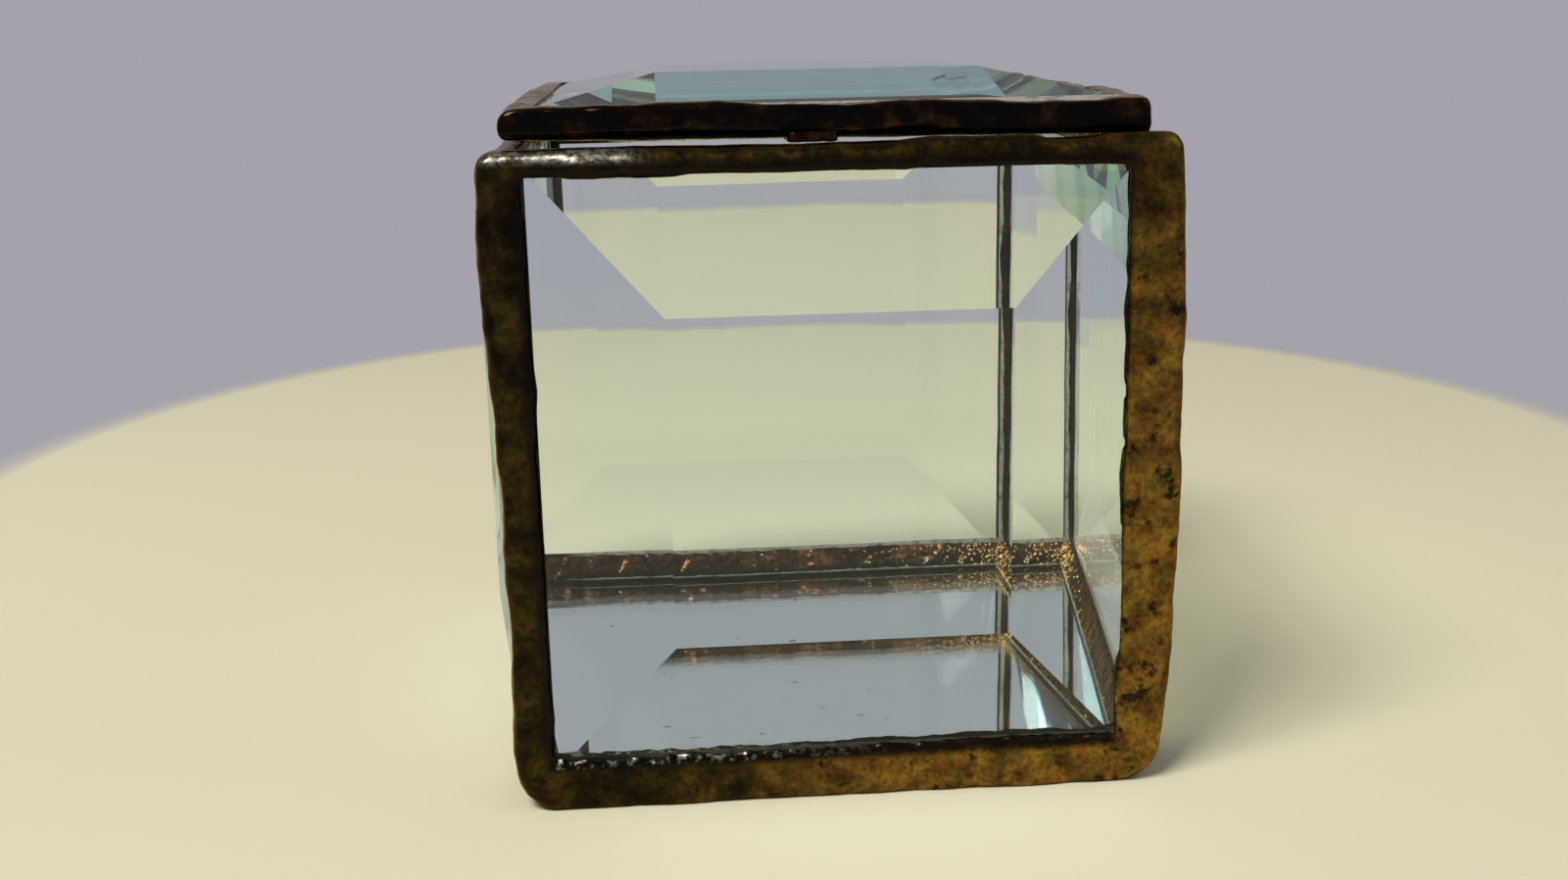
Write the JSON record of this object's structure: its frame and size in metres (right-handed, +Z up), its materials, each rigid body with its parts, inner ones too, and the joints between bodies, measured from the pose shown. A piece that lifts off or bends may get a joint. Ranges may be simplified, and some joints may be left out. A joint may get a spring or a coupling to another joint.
{
  "type": "glass casket box",
  "caption": "Small keepsake box of bevelled glass panes joined by patinated solder seams, with a mirrored floor and a bevelled glass lid on a wire hinge.",
  "frame": {"origin": "middle of the base, on the surface that the box stands on", "axes": "+X to the viewer's right, +Y from the front pane to the hinge at the back, +Z up"},
  "size_m": [0.0676, 0.0702, 0.0694],
  "materials": {
    "bevelled_glass": "clear polished plate glass with ground and polished bevels, faint green in the edges",
    "mirror_glass": "clear flat glass of the mirror, faint blue grey",
    "mirror_backing": "bright silvering with a few specks, grey paint below",
    "copper_foil": "tinned copper foil tape, dulled grey brown",
    "patina_solder": "hand soldered bead with blotchy antique copper and brass patina, satin with glossy lumps",
    "inner_seam": "thin inner solder, brown copper patina with small bright grains",
    "hinge_tube": "drawn brass tube, dulled",
    "hinge_rod": "drawn wire, dulled"
  },
  "bodies": {
    "casket": {"front_pane": "bevelled_glass", "back_pane": "bevelled_glass", "left_pane": "bevelled_glass", "right_pane": "bevelled_glass", "mirror_glass": "mirror_glass", "mirror_backing": "mirror_backing", "front_foil": "copper_foil", "back_foil": "copper_foil", "left_foil": "copper_foil", "right_foil": "copper_foil", "mirror_foil": "copper_foil", "front_left_seam": "patina_solder", "front_right_seam": "patina_solder", "back_left_seam": "patina_solder", "back_right_seam": "patina_solder", "front_base_seam": "patina_solder", "back_base_seam": "patina_solder", "left_base_seam": "patina_solder", "right_base_seam": "patina_solder", "front_rim_bead": "patina_solder", "back_rim_bead": "patina_solder", "left_rim_bead": "patina_solder", "right_rim_bead": "patina_solder", "inner_front_left_seam": "inner_seam", "inner_front_right_seam": "inner_seam", "inner_back_left_seam": "inner_seam", "inner_back_right_seam": "inner_seam", "inner_front_base_seam": "inner_seam", "inner_back_base_seam": "inner_seam", "inner_left_base_seam": "inner_seam", "inner_right_base_seam": "inner_seam", "hinge_rod": "hinge_rod"},
    "lid": {"lid_pane": "bevelled_glass", "lid_foil": "copper_foil", "lid_front_bead": "patina_solder", "lid_back_bead": "patina_solder", "lid_left_bead": "patina_solder", "lid_right_bead": "patina_solder", "lid_rest_bead": "patina_solder", "hinge_tube": "hinge_tube", "hinge_tube_solder": "patina_solder"}
  },
  "joints": [
    {"name": "lid_hinge", "type": "hinge", "parent": "casket", "child": "lid", "pos_m": [0, 0.0309, 0.06265], "axis": [-1, 0, 0], "range_deg": [0, 105]}
  ]
}
